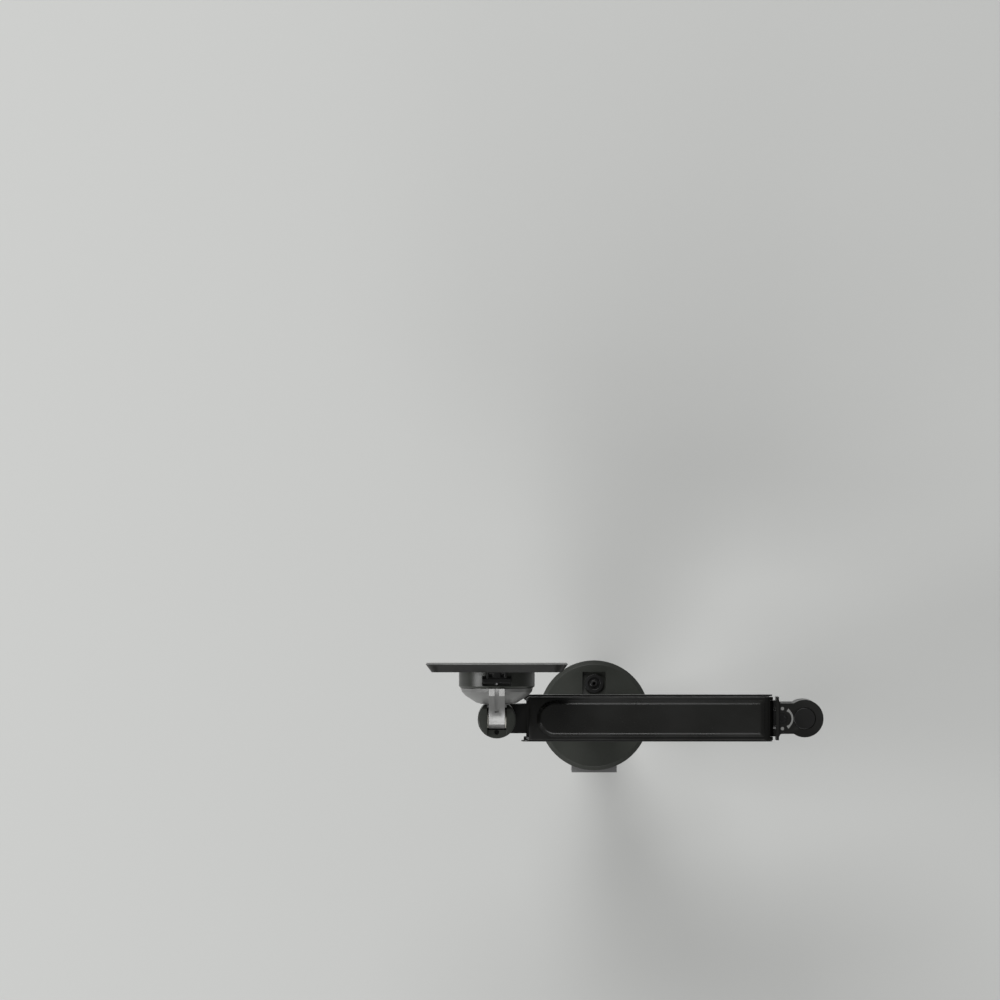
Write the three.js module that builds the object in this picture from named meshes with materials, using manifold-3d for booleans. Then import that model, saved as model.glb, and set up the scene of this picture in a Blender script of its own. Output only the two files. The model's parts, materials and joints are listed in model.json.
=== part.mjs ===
// A desk-clamped monitor arm: a swivelling lower link, a gas-sprung parallelogram upper link
// and a pan, tilt and turn head that carries a square screen plate.
// Millimetres, +Z up. The origin is the middle of the base disc on the desk top, and the
// screen faces -Y. The arm is folded, with its upper link right above its lower link.

import * as THREE from 'three';
import { mergeVertices } from 'three/addons/utils/BufferGeometryUtils.js';
import Module from 'manifold-3d';

const wasm = await Module();
wasm.setup();

// ---- Driving dimensions ----

const GAP = 0.3;                 // clearance between pieces that touch
const ELBOW_X = -178;            // elbow axis
const HEAD_X = 84;               // head pan axis
const PIVOT_INSET = 36;          // parallelogram pins, in from the elbow and head axes
const UPPER_PIN_Z = 162;
const LOWER_PIN_Z = 135;
const TILT_Z = 207;              // tilt axis of the head
const PIN_R = 4;
const SPINDLE_R = 8;             // elbow and pan spindles
const PIN_SPAN = HEAD_X - ELBOW_X - 2 * PIVOT_INSET;

const DISC = { radius: 47.5, bottom: 2.1, top: 12.5, bevel: 3.4 };
const PAD = { radius: 44, top: 1.8, rearEdge: 42 };
const BRACKET = { width: 39, thick: 4, front: -38, plateInner: 44.3, plateOuter: 49.3, foot: -78 };
const BASE_SCREW_Y = -27.5;
const RECESS = { side: 20, floor: 8 };
const POST = { foot: 6.4, shoulder: 57, top: 86, columnR: 17, spindleR: 12 };

const JAW = { bottom: -82, thick: 5, legInner: 40, legOuter: 44, reach: -6 };
const JAW_SCREW = { x: 11, z: -62 };
const CLAMP = { y: 8, screwR: 5, padTop: -25.2, padR: 17, wheelR: 17 };

const LOWER_ARM = { bottom: 60, top: 90, halfWidth: 13, baseR: 18, elbowR: 15.5, elbowTop: 94 };
const CHANNEL = { x0: -158, x1: -22, halfWidth: 9.5, top: 86 };

const KNUCKLE = { barrelR: 16, bottom: 97, top: 171, neckHalf: 13, capR: 9.3 };
const EAR = { halfWidth: 15.3, slotHalf: 9.5, upperR: 9.5, lowerR: 7.1 };
const FLANGE = { x0: 22, x1: 24.3, halfWidth: 18.4, bottom: 126, top: 173 };
const TENSION = { x: 19, screwR: 3, headR: 4.2 };

const BEAM = {
  halfWidth: 18.4, wall: 2.7, top: 13, skin: 2.8, bottom: -14, rear: -9.1, front: 198.8, nose: 203.9,
};
const BEAM_LIP = { outerR: 11.2, innerR: 9.9, reach: 6.6, lowEdge: 7.6 };
const COVER = { rear: 1.4, nose: 188.6, halfWidth: 12.3, bevel: 3.2, height: 3 };
const LINK = { halfWidth: 19.95, wall: 1.2, bottom: -9, floor: 1.5, top: 13.6, rear: -9, front: 205.2 };

const SPRING_FRONT = { x: 150, z: -3 };       // from the upper rear pin, on the beam
const SPRING_REAR = { x: -2.5, z: -13.5 };    // from the upper rear pin, on the tension nut
const SPRING = { tubeR: 8.5, tubeFrom: 12, tubeTo: 104, rodR: 3.5 };

const HEAD = { barrelR: 16.2, barrelBottom: 128, barrelTop: 171, neckHalf: 12.5, neckTop: 169.5 };
const CLEVIS = { bottom: 171.6, above: 9, slotHalf: 8.2, slotDepth: 10.5, frontCut: 12.8 };
const TONGUE = { halfWidth: 6.8, endR: 8 };
const DISH = {
  rear: 13.2, front: 26.4,
  bowl: [[13.6, 13.2], [17.5, 14.3], [21.8, 17.1], [26.6, 20.2], [29.6, 23.4], [30.6, 26.4]],
};
const HUB = { rear: 26.7, front: 40.3, radius: 32.1, pocketR: 26, floor: 31 };
const LATCH = {
  wideHalf: 12, narrowHalf: 8.5, rear: 31.1, step: 34.9, tip: 41.4, bottom: 26.3, top: 34, travel: 2,
};
const PLATE = { rear: 40.6, front: 47.2, side: 120, bevel: 5, wall: 2.5, bossR: 30, corner: 7 };
const DOWNWARD_TILTS = [0, 7.5, 15];          // tilts that the clevis is relieved for

// ---- Finishes ----

function finish(color, roughness, metalness) {
  return { color, roughness, metalness };
}

const FINISH = {
  blackPaint: finish(0x2a2a28, 0.5, 0.2),
  greyPaint: finish(0x4a4c48, 0.5, 0.3),
  blackPlastic: finish(0x181817, 0.55, 0),
  darkPlastic: finish(0x2b2b29, 0.5, 0),
  silver: finish(0x9a9a96, 0.35, 0.8),
  steel: finish(0x8c8d8e, 0.35, 1),
  bronze: finish(0x8a6a3a, 0.5, 0.9),
  nylon: finish(0xc9c6ba, 0.6, 0),
  rubber: finish(0x141414, 0.9, 0),
};

// ---- Solid helpers: three.js geometry in, manifold solids for cuts and joins ----

function toSolid(geometry) {
  const bare = geometry.clone();
  bare.deleteAttribute('normal');
  bare.deleteAttribute('uv');
  const merged = mergeVertices(bare, 1e-4);
  const index = merged.index.array;
  const kept = [];
  for (let i = 0; i < index.length; i += 3) {
    const [a, b, c] = [index[i], index[i + 1], index[i + 2]];
    if (a !== b && b !== c && c !== a) kept.push(a, b, c);
  }
  return new wasm.Manifold(new wasm.Mesh({
    numProp: 3,
    vertProperties: new Float32Array(merged.attributes.position.array),
    triVerts: new Uint32Array(kept),
  }));
}

function toGeometry(solid) {
  const mesh = solid.getMesh();
  const geometry = new THREE.BufferGeometry();
  geometry.setAttribute('position', new THREE.BufferAttribute(mesh.vertProperties, 3));
  geometry.setIndex(new THREE.BufferAttribute(mesh.triVerts, 1));
  geometry.computeVertexNormals();
  return geometry;
}

function join(...solids) {
  return solids.reduce((whole, piece) => whole.add(piece));
}

function cut(body, ...tools) {
  return tools.reduce((left, tool) => left.subtract(tool), body);
}

function box([x0, x1], [y0, y1], [z0, z1]) {
  const geometry = new THREE.BoxGeometry(x1 - x0, y1 - y0, z1 - z0);
  return toSolid(geometry.translate((x0 + x1) / 2, (y0 + y1) / 2, (z0 + z1) / 2));
}

function sidesFor(radius) {
  if (radius > 40) return 72;
  if (radius > 14) return 36;
  return radius > 5 ? 20 : 10;
}

// A cone or cylinder along Z from z0 to z1; r1 is the radius at the top.
function upright(radius, z0, z1, { x = 0, y = 0, r1 = radius, sides = sidesFor(radius) } = {}) {
  const geometry = new THREE.CylinderGeometry(r1, radius, z1 - z0, sides).rotateX(Math.PI / 2);
  return toSolid(geometry.translate(x, y, (z0 + z1) / 2));
}

// A cylinder along Y, centred on (x, z), from y0 to y1.
function across(radius, [x, z], [y0, y1], sides = sidesFor(radius)) {
  const geometry = new THREE.CylinderGeometry(radius, radius, y1 - y0, sides);
  return toSolid(geometry.translate(x, (y0 + y1) / 2, z));
}

// A cylinder along X, centred on (y, z), from x0 to x1.
function lengthways(radius, [y, z], [x0, x1], sides = sidesFor(radius)) {
  const geometry = new THREE.CylinderGeometry(radius, radius, x1 - x0, sides).rotateZ(Math.PI / 2);
  return toSolid(geometry.translate((x0 + x1) / 2, y, z));
}

function ring(inner, outer, z0, z1, at = {}) {
  return cut(upright(outer, z0, z1, at), upright(inner, z0 - 1, z1 + 1, at));
}

// A turned piece about Z from [radius, height] points.
function turned(points, sides = 40) {
  const profile = points.map(([r, z]) => new THREE.Vector2(r, z));
  return toSolid(new THREE.LatheGeometry(profile, sides).rotateX(Math.PI / 2));
}

// A turned piece about the head's turning axis from [radius, distance in front] points.
function turnedForward(points, sides = 56) {
  const profile = points.map(([r, d]) => new THREE.Vector2(r, d));
  return toSolid(new THREE.LatheGeometry(profile, sides).rotateX(Math.PI));
}

function planShape(points) {
  return new THREE.Shape(points.map(([x, y]) => new THREE.Vector2(x, y)));
}

// A plan outline raised from z0 to z1.
function raised(shape, z0, z1, curveSegments = 16) {
  const geometry = new THREE.ExtrudeGeometry(shape, { depth: z1 - z0, bevelEnabled: false, curveSegments });
  return toSolid(geometry.translate(0, 0, z0));
}

// A side outline in X and Z, as wide as 2 x halfWidth along Y.
function sideways(shape, halfWidth, curveSegments = 10) {
  const geometry = new THREE.ExtrudeGeometry(shape, {
    depth: 2 * halfWidth, bevelEnabled: false, curveSegments,
  });
  return toSolid(geometry.translate(0, 0, -halfWidth).rotateX(Math.PI / 2));
}

// An outline in Y and Z, drawn as (y, z), from x0 to x1.
function endways(shape, [x0, x1], curveSegments = 10) {
  const geometry = new THREE.ExtrudeGeometry(shape, { depth: x1 - x0, bevelEnabled: false, curveSegments });
  const turn = new THREE.Matrix4().makeBasis(
    new THREE.Vector3(0, 1, 0), new THREE.Vector3(0, 0, 1), new THREE.Vector3(1, 0, 0),
  );
  return toSolid(geometry.applyMatrix4(turn).translate(x0, 0, 0));
}

function roundedRectangle(x0, x1, y0, y1, r) {
  const shape = new THREE.Shape();
  shape.moveTo(x0 + r, y0);
  shape.lineTo(x1 - r, y0);
  shape.absarc(x1 - r, y0 + r, r, -Math.PI / 2, 0);
  shape.lineTo(x1, y1 - r);
  shape.absarc(x1 - r, y1 - r, r, 0, Math.PI / 2);
  shape.lineTo(x0 + r, y1);
  shape.absarc(x0 + r, y1 - r, r, Math.PI / 2, Math.PI);
  shape.lineTo(x0, y0 + r);
  shape.absarc(x0 + r, y0 + r, r, Math.PI, 1.5 * Math.PI);
  return shape;
}

function hexSocket(width, z0, z1, at = {}) {
  return upright(width / Math.sqrt(3), z0, z1, { ...at, sides: 6 });
}

// ---- Assembly helper: one named mesh for each piece ----

function add(group, name, solid, look) {
  const mesh = new THREE.Mesh(toGeometry(solid), new THREE.MeshStandardMaterial(look));
  mesh.name = name;
  group.add(mesh);
}

function groupAt(x, y, z) {
  const group = new THREE.Group();
  group.position.set(x, y, z);
  return group;
}

// ---- Base: pad, clamp bracket, disc, post ----

function basePad() {
  const disc = upright(PAD.radius, 0, PAD.top);
  const rear = box([-60, 60], [PAD.rearEdge, 60], [-1, PAD.top + 1]);
  return cut(disc, rear);
}

function clampBracket() {
  const half = BRACKET.width / 2;
  const top = DISC.bottom + BRACKET.thick;
  const body = join(
    box([-half, half], [BRACKET.front, BRACKET.plateOuter], [DISC.bottom, top]),
    box([-half, half], [BRACKET.plateInner, BRACKET.plateOuter], [BRACKET.foot, top]),
  );
  const holes = [
    upright(3, 0, 10, { y: BASE_SCREW_Y }),
    upright(8, DISC.bottom - 0.1, DISC.bottom + 3.6, { r1: 4.4 }),
    upright(4.4, 0, 10),
    ...[-1, 1].map((side) => across(3.4, [side * JAW_SCREW.x, JAW_SCREW.z], [40, 55])),
  ];
  return cut(body, ...holes);
}

function baseDisc() {
  const { radius, bottom, top, bevel } = DISC;
  const slotHalf = BRACKET.width / 2 + GAP;
  const slotTop = bottom + BRACKET.thick + GAP;
  const half = RECESS.side / 2;
  return cut(
    turned([[0, bottom], [radius, bottom], [radius, top - bevel], [radius - bevel, top], [0, top]], 72),
    box([-slotHalf, slotHalf], [BRACKET.front - GAP, 60], [0, slotTop]),
    box([-half, half], [BASE_SCREW_Y - half, BASE_SCREW_Y + half], [RECESS.floor, top + 1]),
    upright(POST.columnR + GAP, 0, top + 1),
    upright(3, 0, top, { y: BASE_SCREW_Y }),
  );
}

function baseScrewWasher() {
  const z = RECESS.floor + GAP;
  const points = [[3, z], [8.1, z], [8.1, z + 2.6], [5.2, z + 2.6], [5.2, z + 0.9], [3, z + 0.9], [3, z]];
  return turned(points, 28).translate([0, BASE_SCREW_Y, 0]);
}

function baseScrew() {
  const z = RECESS.floor + 2 * GAP + 0.9;
  const at = { y: BASE_SCREW_Y };
  const head = join(upright(3.5, z, z + 1.6, at), upright(3.5, z + 1.5, z + 2.3, { ...at, r1: 2.7 }));
  return cut(join(head, upright(2.6, 2.6, z + 1, at)), hexSocket(2.6, z + 1.3, z + 4, at));
}

function post() {
  const { foot, shoulder, top, columnR, spindleR } = POST;
  const body = turned([
    [0, foot], [columnR, foot], [columnR, shoulder - 1], [columnR - 1, shoulder],
    [spindleR, shoulder], [spindleR, top - 1], [spindleR - 1, top], [0, top],
  ]);
  return cut(body, upright(4.3, foot - 1, 30), upright(3.3, 68, top + 1));
}

function postBolt() {
  const head = upright(7.4, DISC.bottom + 0.3, DISC.bottom + 3.4, { r1: 4 });
  return cut(join(head, upright(4, DISC.bottom + 0.3, 26)), hexSocket(5, 0, DISC.bottom + 2.2));
}

function postTop(group) {
  const { top } = POST;
  add(group, 'post_retaining_washer', ring(3.3, 14, top + GAP, top + 1.9), FINISH.steel);
  const z = top + 1.9 + GAP;
  const screw = cut(join(upright(6, z, z + 2.8), upright(3, 70, z + 1)), hexSocket(4, z + 1, z + 5));
  add(group, 'post_top_screw', screw, FINISH.steel);
}

function baseGroup() {
  const group = groupAt(0, 0, 0);
  add(group, 'base_pad', basePad(), FINISH.rubber);
  add(group, 'clamp_bracket', clampBracket(), FINISH.silver);
  add(group, 'base_disc', baseDisc(), FINISH.greyPaint);
  add(group, 'base_screw_washer', baseScrewWasher(), FINISH.steel);
  add(group, 'base_screw', baseScrew(), FINISH.steel);
  add(group, 'post', post(), FINISH.blackPaint);
  add(group, 'post_bolt', postBolt(), FINISH.steel);
  postTop(group);
  return group;
}

// ---- Desk clamp: lower jaw, screw, wheel and shoe ----

function lowerJaw() {
  const half = BRACKET.width / 2;
  const { bottom, thick, legInner, legOuter, reach } = JAW;
  const body = join(
    box([-half, half], [legInner, legOuter], [bottom, -52]),
    box([-half, half], [reach + 14, legOuter], [bottom, bottom + thick]),
    upright(14, bottom, bottom + thick, { y: CLAMP.y }),
    upright(9.5, bottom, bottom + 12, { y: CLAMP.y }),
  );
  const holes = [-1, 1].map((side) => across(3.4, [side * JAW_SCREW.x, JAW_SCREW.z], [35, 50]));
  return cut(body, upright(CLAMP.screwR + GAP, -90, -60, { y: CLAMP.y }), ...holes);
}

function jawScrew(side) {
  const centre = [side * JAW_SCREW.x, JAW_SCREW.z];
  const inner = JAW.legInner - GAP;
  const socket = across(1.9, centre, [inner - 4, inner - 1.2], 6);
  return cut(join(across(5, centre, [inner - 3, inner]), across(3, centre, [inner - 1, 49])), socket);
}

function clampSpindle() {
  const { y, screwR, padTop } = CLAMP;
  const shoulder = padTop - 8.6;
  return join(
    upright(screwR, -112, shoulder, { y }),
    upright(3, shoulder - 1, shoulder + 3.6, { y }),
  );
}

function clampWheel() {
  const { y, wheelR, screwR } = CLAMP;
  const lobes = 8;
  const flutes = Array.from({ length: lobes }, (_, i) => {
    const angle = (2 * Math.PI * (i + 0.5)) / lobes;
    const x = (wheelR + 2) * Math.cos(angle);
    return upright(4, -123, -105, { x, y: y + (wheelR + 2) * Math.sin(angle) });
  });
  const body = join(upright(wheelR, -121, -108, { y }), upright(10, -109, -104, { y }));
  return cut(body, upright(screwR + GAP, -113, -100, { y }), ...flutes);
}

function clampShoe() {
  const { y, padTop, padR } = CLAMP;
  const top = padTop - 3.3;
  const cup = join(upright(padR - 3, top - 3, top, { y, r1: padR }), upright(8, top - 5, top, { y }));
  return cut(cup, upright(3 + GAP, top - 6, top - 1.2, { y }));
}

function clampPad() {
  const { y, padTop, padR } = CLAMP;
  return upright(padR, padTop - 3, padTop, { y });
}

function clampGroup() {
  const group = groupAt(0, 0, 0);
  add(group, 'lower_jaw', lowerJaw(), FINISH.blackPaint);
  add(group, 'jaw_screw_left', jawScrew(1), FINISH.steel);
  add(group, 'jaw_screw_right', jawScrew(-1), FINISH.steel);
  add(group, 'clamp_spindle', clampSpindle(), FINISH.steel);
  add(group, 'clamp_wheel', clampWheel(), FINISH.blackPlastic);
  add(group, 'clamp_shoe', clampShoe(), FINISH.steel);
  add(group, 'clamp_pad', clampPad(), FINISH.rubber);
  return group;
}

// ---- Lower arm ----

function lowerArm() {
  const { bottom, top, halfWidth, baseR, elbowR, elbowTop } = LOWER_ARM;
  const section = roundedRectangle(-halfWidth, halfWidth, bottom, top, 5);
  const body = join(
    endways(section, [ELBOW_X + 4, -4]),
    upright(baseR, bottom - 1, top + 2),
    upright(elbowR, bottom, elbowTop, { x: ELBOW_X }),
  );
  return cut(
    body,
    box([CHANNEL.x0, CHANNEL.x1], [-CHANNEL.halfWidth, CHANNEL.halfWidth], [bottom - 1, CHANNEL.top]),
    upright(14.4, bottom - 5, top + 5),
    upright(11, bottom - 5, elbowTop + 5, { x: ELBOW_X }),
  );
}

function lowerCableCover() {
  const half = CHANNEL.halfWidth - GAP;
  const x = [CHANNEL.x0 + 18, CHANNEL.x1 - 18];
  const z = LOWER_ARM.bottom;
  return join(
    box(x, [-half, half], [z, z + 2]),
    box(x, [half - 1.2, half], [z + 1, z + 6]),
    box(x, [-half, -half + 1.2], [z + 1, z + 6]),
  );
}

function baseBarrelCap() {
  const z = LOWER_ARM.top + 2;
  const plate = turned([[0, z + GAP], [17, z + GAP], [17, z + 1], [16, z + 2], [0, z + 2]]);
  return join(upright(14.1, z - 0.8, z + 1), plate);
}

function elbowBottomCap() {
  const z = LOWER_ARM.bottom;
  return join(
    turned([[0, z - 2.4], [12.5, z - 2.4], [13.5, z - 1.4], [13.5, z - GAP], [0, z - GAP]]),
    upright(10.7, z - 1, z + 1.5),
  ).translate([ELBOW_X, 0, 0]);
}

function lowerArmGroup() {
  const group = groupAt(0, 0, 0);
  const { shoulder, top } = POST;
  add(group, 'base_thrust_washer', ring(12.3, 17, shoulder + GAP, shoulder + 1.7), FINISH.nylon);
  add(group, 'base_bush_lower', ring(12.3, 14.1, shoulder + 2.2, 70), FINISH.bronze);
  add(group, 'base_bush_upper', ring(12.3, 14.1, 73, top - GAP), FINISH.bronze);
  add(group, 'lower_arm', lowerArm(), FINISH.blackPaint);
  add(group, 'lower_cable_cover', lowerCableCover(), FINISH.darkPlastic);
  add(group, 'base_barrel_cap', baseBarrelCap(), FINISH.blackPlastic);
  add(group, 'elbow_bush_lower', ring(8.3, 10.7, 66, 76, { x: ELBOW_X }), FINISH.bronze);
  add(group, 'elbow_bush_upper', ring(8.3, 10.7, 83, 93.7, { x: ELBOW_X }), FINISH.bronze);
  add(group, 'elbow_bottom_cap', elbowBottomCap(), FINISH.blackPlastic);
  const washer = ring(8.3, 15, LOWER_ARM.elbowTop + GAP, KNUCKLE.bottom - GAP, { x: ELBOW_X });
  add(group, 'elbow_thrust_washer', washer, FINISH.nylon);
  return group;
}

// ---- Elbow: knuckle that carries the rear pins of the parallelogram and the spring adjuster ----

function elbowNeckPlan() {
  const half = KNUCKLE.neckHalf;
  const { x0, halfWidth } = FLANGE;
  const shape = new THREE.Shape();
  shape.moveTo(0, -half);
  shape.lineTo(x0 - 3, -half);
  shape.quadraticCurveTo(x0, -half, x0, -halfWidth + 0.8);
  shape.lineTo(x0 + 1, -halfWidth + 0.8);
  shape.lineTo(x0 + 1, halfWidth - 0.8);
  shape.lineTo(x0, halfWidth - 0.8);
  shape.quadraticCurveTo(x0, half, x0 - 3, half);
  shape.lineTo(0, half);
  return shape;
}

// The part of a knuckle that runs between the beam's walls, with the two cross pins' bosses.
function knuckleEars([xFrom, xTo], [lowEdge, highEdge]) {
  const upper = [PIVOT_INSET, UPPER_PIN_Z];
  const lower = [PIVOT_INSET, LOWER_PIN_Z];
  const wide = [-EAR.halfWidth, EAR.halfWidth];
  const ears = join(
    across(EAR.upperR, upper, wide),
    across(EAR.lowerR, lower, wide),
    box([xFrom, PIVOT_INSET - 6], wide, [lowEdge, highEdge]),
    box([xTo, PIVOT_INSET + EAR.lowerR - 0.5], wide, [LOWER_PIN_Z, UPPER_PIN_Z]),
  );
  const holes = [across(PIN_R + GAP, upper, [-30, 30]), across(PIN_R + GAP, lower, [-30, 30])];
  return { ears, holes };
}

function elbowKnuckle() {
  const { barrelR, bottom, top, capR } = KNUCKLE;
  const middle = (UPPER_PIN_Z + LOWER_PIN_Z) / 2;
  const { ears, holes } = knuckleEars([FLANGE.x1 - 1, 28], [LOWER_PIN_Z - 5, UPPER_PIN_Z]);
  const wide = [-FLANGE.halfWidth, FLANGE.halfWidth];
  const slot = [-EAR.slotHalf, EAR.slotHalf];
  const body = join(
    upright(barrelR, bottom, top),
    raised(elbowNeckPlan(), 128, top),
    box([FLANGE.x0, FLANGE.x1], wide, [FLANGE.bottom, FLANGE.top]),
    ears,
  );
  return cut(
    body,
    upright(capR + GAP, top - 2.5, top + 1),
    upright(SPINDLE_R + GAP, bottom - 1, 121),
    box([FLANGE.x1 - 0.5, PIVOT_INSET], slot, [100, UPPER_PIN_Z + 0.6]),
    box([PIVOT_INSET - 0.1, 60], slot, [100, 200]),
    box([12.9, 30], [-7.3, 7.3], [middle - 14.1, middle + 14.1]),
    upright(TENSION.screwR + GAP, 130, top + 1, { x: TENSION.x }),
    upright(TENSION.headR + GAP, top - 3, top + 1, { x: TENSION.x }),
    ...holes,
  );
}

function elbowSpindle() {
  return cut(upright(SPINDLE_R, 65, 120.6), upright(3.3, 64, 84));
}

function elbowBolt() {
  return cut(join(upright(10, 62, 64.7), upright(3, 62, 82)), hexSocket(4, 61, 63.6));
}

function elbowTopCap() {
  const { top, capR } = KNUCKLE;
  const z = top - 2.5 + GAP;
  return turned([[0, z], [capR, z], [capR, top - 0.3], [capR - 0.5, top + 0.2], [0, top + 0.2]]);
}

function tensionScrew() {
  const at = { x: TENSION.x };
  const top = KNUCKLE.top - 0.4;
  return cut(join(upright(TENSION.headR, top - 2.2, top, at), upright(TENSION.screwR, 130.4, top - 1, at)),
    hexSocket(5, top - 1.7, top + 1, at));
}

// The nut that the tension screw raises and lowers, open in front for the spring's cross pin.
function tensionNut() {
  const middle = (UPPER_PIN_Z + LOWER_PIN_Z) / 2;
  const body = box([13.5, 31.6], [-6.9, 6.9], [middle - 11, middle + 11]);
  return cut(
    body,
    box([27.6, 40], [-10, 10], [middle - 9.4, middle + 9.4]),
    upright(TENSION.screwR + GAP, 100, 200, { x: TENSION.x }),
  );
}

function elbowGroup() {
  const group = groupAt(ELBOW_X, 0, 0);
  add(group, 'elbow_knuckle', elbowKnuckle(), FINISH.blackPaint);
  add(group, 'elbow_spindle', elbowSpindle(), FINISH.steel);
  add(group, 'elbow_bolt', elbowBolt(), FINISH.steel);
  add(group, 'elbow_top_cap', elbowTopCap(), FINISH.blackPlastic);
  add(group, 'tension_screw', tensionScrew(), FINISH.steel);
  add(group, 'tension_nut', tensionNut(), FINISH.steel);
  add(group, 'rear_pin_upper', across(PIN_R, [PIVOT_INSET, UPPER_PIN_Z], [-18.2, 18.2]), FINISH.steel);
  add(group, 'rear_pin_lower', across(PIN_R, [PIVOT_INSET, LOWER_PIN_Z], [-19.8, 19.8]), FINISH.steel);
  return group;
}

// ---- Upper arm: beam, cover, lower link and gas spring, drawn from the rear upper pin ----

function beamSide() {
  const { top, bottom, rear, front, nose } = BEAM;
  const shape = new THREE.Shape();
  shape.moveTo(-1.5, top);
  shape.lineTo(front - 4, top);
  shape.quadraticCurveTo(nose, top - 0.5, nose, 3);
  shape.lineTo(nose, bottom + 8);
  shape.quadraticCurveTo(nose, bottom, front - 4, bottom);
  shape.lineTo(1, bottom);
  shape.quadraticCurveTo(rear, bottom, rear, -3);
  shape.lineTo(rear, 1.5);
  shape.quadraticCurveTo(rear + 0.4, 9, -1.5, top);
  return shape;
}

// The roof's rear edge, curved round the rear pin so that it clears the knuckle as the arm lifts.
function beamRearLip(half) {
  const { outerR, innerR, reach, lowEdge } = BEAM_LIP;
  const tube = cut(
    across(outerR, [0, 0], [-half, half], 48),
    across(innerR, [0, 0], [-half - 1, half + 1], 48),
  );
  return tube.intersect(box([-reach, 1], [-half, half], [lowEdge, outerR + 1]));
}

function upperBeam() {
  const { halfWidth, wall, top, skin, front, nose } = BEAM;
  const chamfer = 3.4;
  const plan = planShape([
    [-20, -halfWidth], [front, -halfWidth], [nose, -halfWidth + chamfer],
    [nose, halfWidth - chamfer], [front, halfWidth], [-20, halfWidth],
  ]);
  const body = sideways(beamSide(), halfWidth).intersect(raised(plan, -30, 30));
  const inside = halfWidth - wall;
  const edgeCut = planShape([[halfWidth - 2, top + 1], [halfWidth + 1, top + 1], [halfWidth + 1, top - 2]]);
  const edges = [edgeCut, planShape(edgeCut.getPoints().map((p) => [-p.x, p.y]))];
  const shell = cut(
    body,
    box([-30, 230], [-inside, inside], [-40, top - skin]),
    box([front, 230], [-inside, inside], [-40, 40]),
  );
  return cut(
    join(shell, beamRearLip(inside + 0.5)),
    ...edges.map((edge) => endways(edge, [-30, 230])),
    ...[0, PIN_SPAN].map((x) => across(PIN_R + GAP, [x, 0], [-30, 30])),
    across(3 + GAP, [SPRING_FRONT.x, SPRING_FRONT.z], [-30, 30]),
  );
}

function topCover() {
  const { rear, nose, halfWidth, bevel, height } = COVER;
  const shape = new THREE.Shape();
  shape.moveTo(rear, -halfWidth);
  shape.lineTo(nose - halfWidth, -halfWidth);
  shape.absarc(nose - halfWidth, 0, halfWidth, -Math.PI / 2, Math.PI / 2);
  shape.lineTo(rear, halfWidth);
  shape.closePath();
  const geometry = new THREE.ExtrudeGeometry(shape, {
    depth: 1, bevelEnabled: true, bevelThickness: height, bevelSize: bevel, bevelSegments: 3,
    curveSegments: 24,
  });
  const base = BEAM.top + GAP;
  const whole = toSolid(geometry.translate(0, 0, base - 1));
  return cut(whole, box([-50, 250], [-50, 50], [-20, base]));
}

function linkSide() {
  const { bottom, top, rear, front } = LINK;
  const shape = new THREE.Shape();
  shape.moveTo(rear, 6);
  shape.lineTo(rear, -2);
  shape.quadraticCurveTo(rear, bottom, -2, bottom);
  shape.lineTo(front - 7, bottom);
  shape.quadraticCurveTo(front, bottom, front, -2);
  shape.lineTo(front, 4);
  shape.quadraticCurveTo(front, top, front - 9, top);
  shape.lineTo(-1, top);
  shape.quadraticCurveTo(rear, top, rear, 6);
  return shape;
}

function lowerLink() {
  const { halfWidth, wall, bottom, floor, front } = LINK;
  const inside = halfWidth - wall;
  const notch = 15.8;
  return cut(
    sideways(linkSide(), halfWidth),
    box([-30, 230], [-inside, inside], [bottom + floor, 40]),
    box([-30, -5], [-notch, notch], [-40, 40]),
    box([PIN_SPAN + 5, front + 10], [-notch, notch], [-40, 40]),
    ...[0, PIN_SPAN].map((x) => across(PIN_R + GAP, [x, 0], [-30, 30])),
  );
}

function springCylinder() {
  const { tubeR, tubeFrom, tubeTo, rodR } = SPRING;
  const body = join(
    lengthways(tubeR, [0, 0], [tubeFrom, tubeTo]),
    lengthways(5.5, [0, 0], [4, tubeFrom + 1]),
    across(7.5, [0, 0], [-5, 5]),
  );
  return cut(body, across(3 + GAP, [0, 0], [-20, 20]), lengthways(rodR + GAP, [0, 0], [34, tubeTo + 1]));
}

function springRod(length) {
  const { rodR } = SPRING;
  const eye = join(lengthways(rodR, [0, 0], [36, length - 2]), across(4.6, [length, 0], [-3.5, 3.5], 20));
  return cut(eye, across(3 + GAP, [length, 0], [-20, 20]));
}

function springGroup() {
  const dx = SPRING_REAR.x - SPRING_FRONT.x;
  const dz = SPRING_REAR.z - SPRING_FRONT.z;
  const length = Math.hypot(dx, dz);
  const group = groupAt(SPRING_FRONT.x, 0, SPRING_FRONT.z);
  group.rotation.y = -Math.atan2(dz, dx);
  add(group, 'gas_spring_cylinder', springCylinder(), FINISH.blackPaint);
  add(group, 'gas_spring_rod', springRod(length), FINISH.steel);
  add(group, 'spring_cross_pin', across(3, [length, 0], [-6.5, 6.5]), FINISH.steel);
  return group;
}

function upperArmGroup() {
  const group = groupAt(ELBOW_X + PIVOT_INSET, 0, UPPER_PIN_Z);
  add(group, 'upper_beam', upperBeam(), FINISH.blackPaint);
  add(group, 'top_cover', topCover(), FINISH.darkPlastic);
  const pin = across(3, [SPRING_FRONT.x, SPRING_FRONT.z], [-18.2, 18.2]);
  add(group, 'spring_front_pin', pin, FINISH.steel);
  group.add(springGroup());
  const linkGroup = groupAt(0, 0, LOWER_PIN_Z - UPPER_PIN_Z);
  add(linkGroup, 'lower_link', lowerLink(), FINISH.blackPaint);
  group.add(linkGroup);
  return group;
}

// ---- Front knuckle and pan clevis, drawn from the head's upright axis ----

function mirrored(solid) {
  return solid.mirror([1, 0, 0]);
}

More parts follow.
